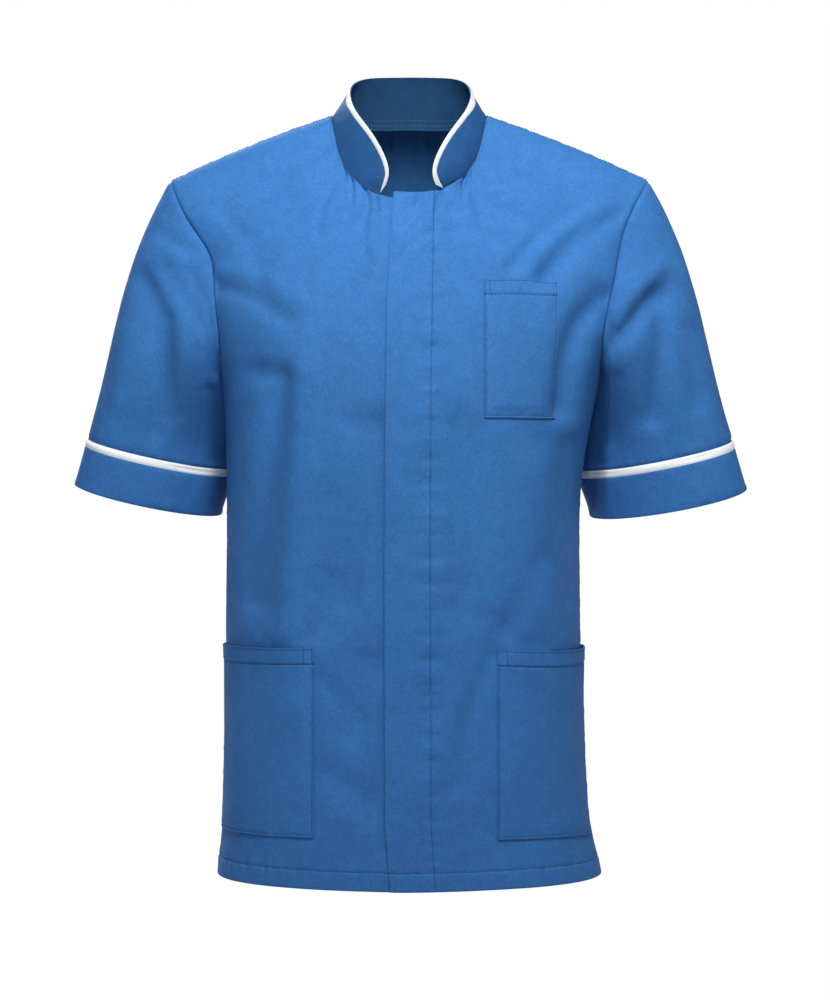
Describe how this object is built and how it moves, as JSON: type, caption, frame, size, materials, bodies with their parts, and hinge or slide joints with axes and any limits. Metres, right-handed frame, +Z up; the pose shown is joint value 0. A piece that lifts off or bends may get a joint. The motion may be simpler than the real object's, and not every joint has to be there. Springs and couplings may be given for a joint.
{
  "type": "medical tunic",
  "caption": "Short-sleeved medical tunic with a stand collar, concealed front fastening, white piping on collar and cuffs, a chest pocket and lower patch pockets, filled out as if worn.",
  "frame": {"origin": "on the shoulder seams' line, midway between the neck ends of the two shoulder seams, where the wearer's shoulders carry the tunic", "axes": "+Z up; -Y is the way the front faces; +X towards the wearer's left"},
  "size_m": [0.6745, 0.2822, 0.8056],
  "materials": {
    "blue cloth": "matt",
    "white piping": "matt"
  },
  "bodies": {
    "root": {"front_right": "blue cloth", "front_left": "blue cloth", "back": "blue cloth", "sleeve_right": "blue cloth", "sleeve_left": "blue cloth", "cuff_right": "blue cloth", "cuff_left": "blue cloth", "collar": "blue cloth", "chest_pocket": "blue cloth", "pocket_right": "blue cloth", "pocket_left": "blue cloth", "cuff_piping_right": "white piping", "cuff_piping_left": "white piping", "collar_piping": "white piping"}
  },
  "joints": []
}
